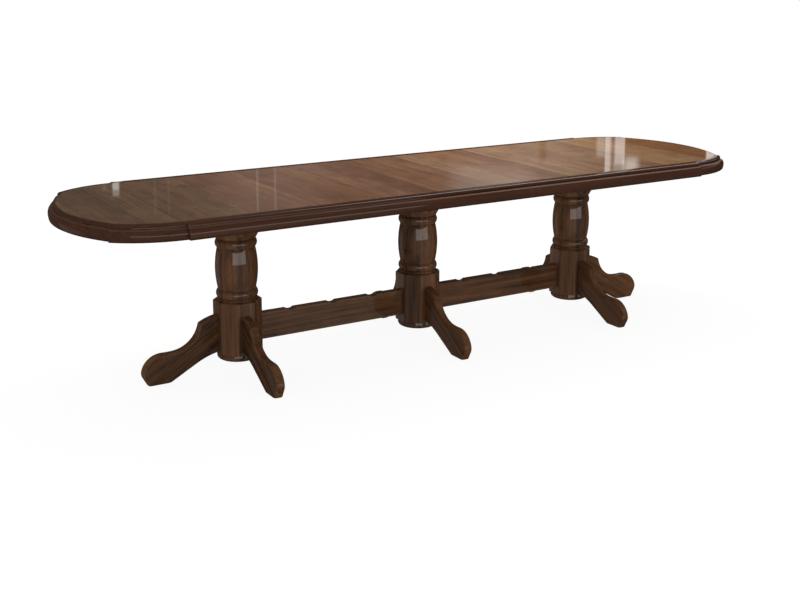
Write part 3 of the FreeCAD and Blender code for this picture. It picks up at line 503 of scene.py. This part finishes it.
def board_tints(start, pitch, tints, lean):
    """Each board's own colour, with paler, flecked wood towards its right edge, or its left if lean is below 0."""
    def tint(tree):
        x, y, z = object_place(tree)
        share = plank(tree, x, start, pitch * len(tints))
        across = maths(tree, "FRACT", maths(tree, "MULTIPLY", share, len(tints)))
        fleck = noise(tree, vector(tree, x, y, z), *FLECK)
        sap = maths(tree, "MULTIPLY", ramp(tree, across, *PALE_SPAN), ramp(tree, fleck, *FLECK_SPAN))
        deep = (*(1.0 - lean * change for change in PALE_EDGE), 1.0)
        pale = (*(1.0 + lean * change for change in PALE_EDGE), 1.0)
        return times(tree, steps(tree, share, tints), mixed(tree, sap, deep, pale))
    return tint


def moulding_painted_shade(tree):
    """Painted shade in the groove under the quarter round and under the nose of the edge moulding, deeper in the groove
    towards the right.
    """
    x, _, z = object_place(tree)
    groove = maths(tree, "MULTIPLY", ramp(tree, z, *GROOVE_TOP), ramp(tree, z, *GROOVE_FOOT))
    under = maths(tree, "MULTIPLY_ADD", ramp(tree, z, *NOSE_UNDER), UNDER_SHADE, 1.0)
    return maths(tree, "MULTIPLY_ADD", groove, ramp(tree, x, *GROOVE_SHADE_RUN), under)


def moulding_painted_highlight(tree):
    """Painted highlight along the ledge of the edge moulding, stronger towards the right of the table."""
    x, _, z = object_place(tree)
    band = maths(tree, "MULTIPLY", ramp(tree, z, *LEDGE_FOOT), ramp(tree, z, *LEDGE_TOP))
    return maths(tree, "MULTIPLY", band, ramp(tree, x, *LEDGE_HIGHLIGHT_RUN))


# Pieces
def finished(node, material, bevel=0.0, merge=True):
    """A smooth, edge-eased copy of a CAD node that stands for it; merge joins the facets of flat faces."""
    source = frame["nodes"][node]
    bpy.ops.object.select_all(action="DESELECT")
    source.select_set(True)
    bpy.context.view_layer.objects.active = source
    bpy.ops.object.duplicate()
    piece = bpy.context.active_object
    riding = piece["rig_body"]
    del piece["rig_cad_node"]
    piece.parent = None
    piece.name = node + "_finished"
    bpy.ops.object.mode_set(mode="EDIT")
    bpy.ops.mesh.select_all(action="SELECT")
    bpy.ops.mesh.remove_doubles(threshold=MERGE_DISTANCE)
    bpy.ops.mesh.customdata_custom_splitnormals_clear()
    if merge:
        bpy.ops.mesh.dissolve_limited(angle_limit=FLAT_ANGLE)
    bpy.ops.object.mode_set(mode="OBJECT")
    bpy.ops.object.shade_smooth_by_angle(angle=EDGE_ANGLE)
    if bevel:
        bpy.ops.object.modifier_add(type="BEVEL")
        ease = piece.modifiers[-1]
        ease.width = bevel
        ease.segments = 2
        ease.limit_method = "ANGLE"
        ease.angle_limit = EDGE_ANGLE
        ease.harden_normals = True
    piece.data.materials.clear()
    piece.data.materials.append(material)
    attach(piece, riding)
    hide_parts(node)
    return piece


def bead_foot(hub):
    """Turns in the upper rim of a hub's round foot, which makes a bead of it."""
    middle = PEDESTAL_SPACING * round(hub.data.vertices[0].co.x / PEDESTAL_SPACING)
    bpy.ops.object.mode_set(mode="EDIT")
    bpy.ops.mesh.select_mode(type="VERT")
    bpy.ops.mesh.select_all(action="DESELECT")
    bpy.ops.object.mode_set(mode="OBJECT")
    for point in hub.data.vertices:
        reach = math.hypot(point.co.x - middle, point.co.y)
        point.select = abs(point.co.z - FOOT_TOP) < FOOT_MARGIN and abs(reach - FOOT_RADIUS) < FOOT_MARGIN
    bpy.ops.object.mode_set(mode="EDIT")
    share = FOOT_NECK / FOOT_RADIUS
    bpy.ops.transform.resize(value=(share, share, 1.0), center_override=(middle, 0.0, FOOT_TOP))
    bpy.ops.object.mode_set(mode="OBJECT")


def named(*endings):
    return [node for node in sorted(frame["nodes"]) if node.endswith(endings)]


def starting(*starts):
    return [node for node in sorted(frame["nodes"]) if node.startswith(starts)]


class TABLE_OT_panels(Operator):
    """The three flats of the top, in planks laid across the table"""

    bl_idname = "table.panels"
    bl_label = "Top panels"

    def execute(self, context):
        look = context.scene.table_wood
        colours = (look.top_dark, look.top_middle, look.top_light)
        for node, start, pitch, tints, lean in PANELS:
            material = wood(
                node + "_wood", plank_grain(start, pitch), colours, look.coat_roughness,
                tone=plank_tone(start, pitch), tint=board_tints(start, pitch, tints, lean),
                lines=plank_lines(start, pitch, look.joint_width), figure=0.65, mottle=0.3)
            finished(node, material, PANEL_EASE)
        return {"FINISHED"}


class TABLE_OT_mouldings(Operator):
    """The stepped edge mouldings"""

    bl_idname = "table.mouldings"
    bl_label = "Edge mouldings"

    def execute(self, context):
        look = context.scene.table_wood
        # The mouldings get painted shade in the groove and under the nose, and a painted highlight on the ledge.
        along, across = (
            wood(name, grain, (look.edge_dark, look.edge_light), look.coat_roughness, gloss=0.6,
                 lines=moulding_painted_shade, rub_and_highlight_colour=look.edge_rub_and_highlight, ledge=moulding_painted_highlight)
            for name, grain in (("edge_along", grain_along_x), ("edge_across", grain_along_y)))
        for node in named("_moulding", "_corner"):
            finished(node, across if "end" in node else along, MOULDING_EASE, merge=False)
        return {"FINISHED"}


class TABLE_OT_pedestals(Operator):
    """The turned columns and eight-sided hubs"""

    bl_idname = "table.pedestals"
    bl_label = "Columns and hubs"

    def execute(self, context):
        look = context.scene.table_wood
        material = wood("pedestal_upright", grain_upright, (look.base_dark, look.base_light), look.coat_roughness,
                        tone=staves, figure=1.5)
        for node in starting("column_"):
            finished(node, material, TURNED_EASE)
        for node in starting("hub_"):
            bead_foot(finished(node, material, TURNED_EASE))
        return {"FINISHED"}


class TABLE_OT_legs(Operator):
    """The sawn legs and their dowels"""

    bl_idname = "table.legs"
    bl_label = "Legs"

    def execute(self, context):
        look = context.scene.table_wood
        # The legs' tone is painted shade, darker by the hub, on the flat sides and towards the left.
        material = wood("leg_wood", grain_of_leg, (look.base_dark, look.base_light), look.coat_roughness,
                        tone=leg_painted_shade, figure=1.2, gloss=0.4)
        for node in starting("leg_left", "leg_middle", "leg_right"):
            finished(node, material, LEG_EASE)
        beech = wood("dowel_wood", grain_along_x, (look.run_dark, look.run_light), 0.5, gloss=0.0)
        finished("leg_dowels", beech)
        return {"FINISHED"}


class TABLE_OT_stretchers(Operator):
    """The two boards between the hubs"""

    bl_idname = "table.stretchers"
    bl_label = "Stretchers"

    def execute(self, context):
        look = context.scene.table_wood
        material = wood("stretcher_wood", grain_along_x, (look.base_dark, look.base_light), look.coat_roughness,
                        figure=1.25, mottle=0.3)
        for node in starting("stretcher_"):
            finished(node, material, BOARD_EASE)
        return {"FINISHED"}


class TABLE_OT_runners(Operator):
    """The bolsters, rails, slides and rack bars under the top"""

    bl_idname = "table.runners"
    bl_label = "Rails and slides"

    def execute(self, context):
        look = context.scene.table_wood
        along = wood("slide_along", grain_along_x, (look.run_dark, look.run_light), 0.2, gloss=0.25)
        across = wood("slide_across", grain_along_y, (look.base_dark, look.base_light), look.coat_roughness, gloss=0.5)
        for node in named("_slide", "_rack") + starting("fixed_rail"):
            finished(node, along, RUNNER_EASE)
        for node in ("bolster_left", "bolster_middle", "bolster_right"):
            finished(node, across, BOARD_EASE)
        return {"FINISHED"}


class TABLE_OT_hardware(Operator):
    """The pinion, axle, pins, locks and screws"""

    bl_idname = "table.hardware"
    bl_label = "Hardware"

    def execute(self, context):
        steel = metal("zinc_steel", (0.58, 0.58, 0.60), 0.22)
        brass = metal("turned_brass", (0.70, 0.50, 0.20), 0.2)
        iron = metal("cast_iron", (0.12, 0.12, 0.125), 0.45)
        for node in named("_screws", "_lever", "_pivots", "_keepers", "_axle"):
            finished(node, steel, METAL_EASE if node.endswith("_lever") else 0.0)
        for node in named("_pins"):
            finished(node, brass)
        finished("pinion", iron, METAL_EASE)
        return {"FINISHED"}


class TABLE_OT_stage(Operator):
    """The floor, light and camera"""

    bl_idname = "table.stage"
    bl_label = "Stage"

    def execute(self, context):
        stage = context.scene.table_stage
        self.floor()
        self.room(context.scene, stage)
        self.lamp(stage)
        self.camera(context.scene, stage)
        return {"FINISHED"}

    def floor(self):
        """Near white for the camera, with the table's shadow; a pale floor for the light."""
        bpy.ops.mesh.primitive_plane_add(size=FLOOR_SIZE)
        floor = bpy.context.active_object
        floor.name = "floor"
        material, tree = new_material("floor_white")
        camera_ray = add(tree, "ShaderNodeLightPath").outputs["Is Camera Ray"]
        pale = add(tree, "ShaderNodeBsdfDiffuse", {0: FLOOR_COLOUR})
        white = add(tree, "ShaderNodeEmission", {0: WHITE, 1: FLOOR_GLOW})
        shaded = add(tree, "ShaderNodeBsdfDiffuse", {0: FLOOR_SHADOW})
        seen = add(tree, "ShaderNodeAddShader", {0: white.outputs[0], 1: shaded.outputs[0]})
        mix = add(tree, "ShaderNodeMixShader", {0: camera_ray, 1: pale.outputs[0], 2: seen.outputs[0]})
        add(tree, "ShaderNodeOutputMaterial", {0: mix.outputs[0]})
        floor.data.materials.append(material)
        floor.visible_glossy = False

    def room(self, scene, stage):
        """White for the camera; a room with windows for the lacquer; soft light for everything else."""
        world = bpy.data.worlds.new("room")
        scene.world = world
        world.use_nodes = True
        tree = world.node_tree
        tree.nodes.clear()
        way = add(tree, "ShaderNodeTexCoord").outputs["Generated"]
        forward = dot(tree, way, (math.sin(stage.camera_yaw), math.cos(stage.camera_yaw), 0.0))
        aside = dot(tree, way, (math.cos(stage.camera_yaw), -math.sin(stage.camera_yaw), 0.0))
        height = add(tree, "ShaderNodeSeparateXYZ", {0: way}).outputs[2]
        rise = maths(tree, "DEGREES", maths(tree, "ARCSINE", height))
        ahead = maths(tree, "DEGREES", maths(tree, "ARCTAN2", aside, forward))
        behind = maths(tree, "DEGREES", maths(tree, "ARCTAN2", aside, maths(tree, "MULTIPLY", forward, -1.0)))

        def lit(glow, angle, left, right, bottom, top, soft, strength):
            """Adds one pane's light to the glow."""
            sides = maths(tree, "MULTIPLY", ramp(tree, angle, left - soft, left + soft),
                          ramp(tree, angle, right + soft, right - soft))
            ends = maths(tree, "MULTIPLY", ramp(tree, rise, bottom - soft, bottom + soft),
                         ramp(tree, rise, top + soft, top - soft))
            return maths(tree, "MULTIPLY_ADD", maths(tree, "MULTIPLY", sides, ends), strength, glow)

        wall = maths(tree, "MULTIPLY_ADD", ramp(tree, ahead, *LEFT_WALL), WALL_LEFT, WALL_AHEAD)
        facing = ramp(tree, forward, *FRONT_TO_BACK)
        back_wall = maths(tree, "MULTIPLY", maths(tree, "SUBTRACT", 1.0, facing), WALL_BEHIND)
        glow = maths(tree, "MULTIPLY_ADD", wall, facing, back_wall)
        glow = lit(glow, behind, *WINDOW, stage.window)
        glow = lit(glow, behind, *WINDOW_BAR, BAR_SHADE * stage.window)
        glow = lit(glow, behind, *SILL, SILL_LIGHT)
        for pane in PANES_AHEAD:
            glow = lit(glow, ahead, *pane)
        path = add(tree, "ShaderNodeLightPath").outputs
        seen = add(tree, "ShaderNodeBackground", {0: WHITE, 1: 1.0})
        mirrored = add(tree, "ShaderNodeBackground", {0: MIRRORED_LIGHT, 1: glow})
        soft = add(tree, "ShaderNodeBackground", {0: SOFT_LIGHT, 1: stage.sky})
        inner = add(tree, "ShaderNodeMixShader", {0: path["Is Glossy Ray"], 1: soft.outputs[0], 2: mirrored.outputs[0]})
        outer = add(tree, "ShaderNodeMixShader", {0: path["Is Camera Ray"], 1: inner.outputs[0], 2: seen.outputs[0]})
        add(tree, "ShaderNodeOutputWorld", {0: outer.outputs[0]})

    def lamp(self, stage):
        """A soft lamp above the far right of the table."""
        bpy.ops.object.light_add(type="AREA", location=stage.lamp_place, rotation=(0.0, LAMP_TILT, 0.0))
        lamp = bpy.context.active_object
        lamp.name = "lamp"
        lamp.data.shape = "DISK"
        lamp.data.size = LAMP_SIZE
        lamp.data.energy = stage.lamp
        lamp.data.color = LAMP_COLOUR
        lamp.visible_camera = False
        lamp.visible_glossy = False

    def camera(self, scene, stage):
        """The photograph's view."""
        turn = (math.radians(90) - stage.camera_pitch, 0.0, -stage.camera_yaw)
        bpy.ops.object.camera_add(location=stage.camera_place, rotation=turn)
        camera = bpy.context.active_object
        camera.data.lens = stage.lens
        camera.data.sensor_width = SENSOR_WIDTH
        camera.data.sensor_fit = "HORIZONTAL"
        camera.data.shift_y = stage.shift
        camera.data.clip_end = FAR_CLIP
        scene.camera = camera
        scene.view_settings.view_transform = "Standard"


class TABLE_PT_sidebar(Panel):
    """Buttons that build the table"""

    bl_idname = "TABLE_PT_sidebar"
    bl_label = "Extending table"
    bl_space_type = "VIEW_3D"
    bl_region_type = "UI"
    bl_category = "Table"

    def draw(self, context):
        for step in STEPS:
            self.layout.operator(step.bl_idname)


STEPS = (TABLE_OT_panels, TABLE_OT_mouldings, TABLE_OT_pedestals, TABLE_OT_legs, TABLE_OT_stretchers,
         TABLE_OT_runners, TABLE_OT_hardware, TABLE_OT_stage)
CLASSES = (WoodSettings, StageSettings, *STEPS, TABLE_PT_sidebar)


def register():
    for item in CLASSES:
        bpy.utils.register_class(item)
    bpy.types.Scene.table_wood = PointerProperty(type=WoodSettings)
    bpy.types.Scene.table_stage = PointerProperty(type=StageSettings)


def unregister():
    del bpy.types.Scene.table_wood
    del bpy.types.Scene.table_stage
    for item in reversed(CLASSES):
        bpy.utils.unregister_class(item)


def main():
    register()
    bpy.ops.table.panels()
    bpy.ops.table.mouldings()
    bpy.ops.table.pedestals()
    bpy.ops.table.legs()
    bpy.ops.table.stretchers()
    bpy.ops.table.runners()
    bpy.ops.table.hardware()
    bpy.ops.table.stage()


if __name__ == "__main__":
    main()
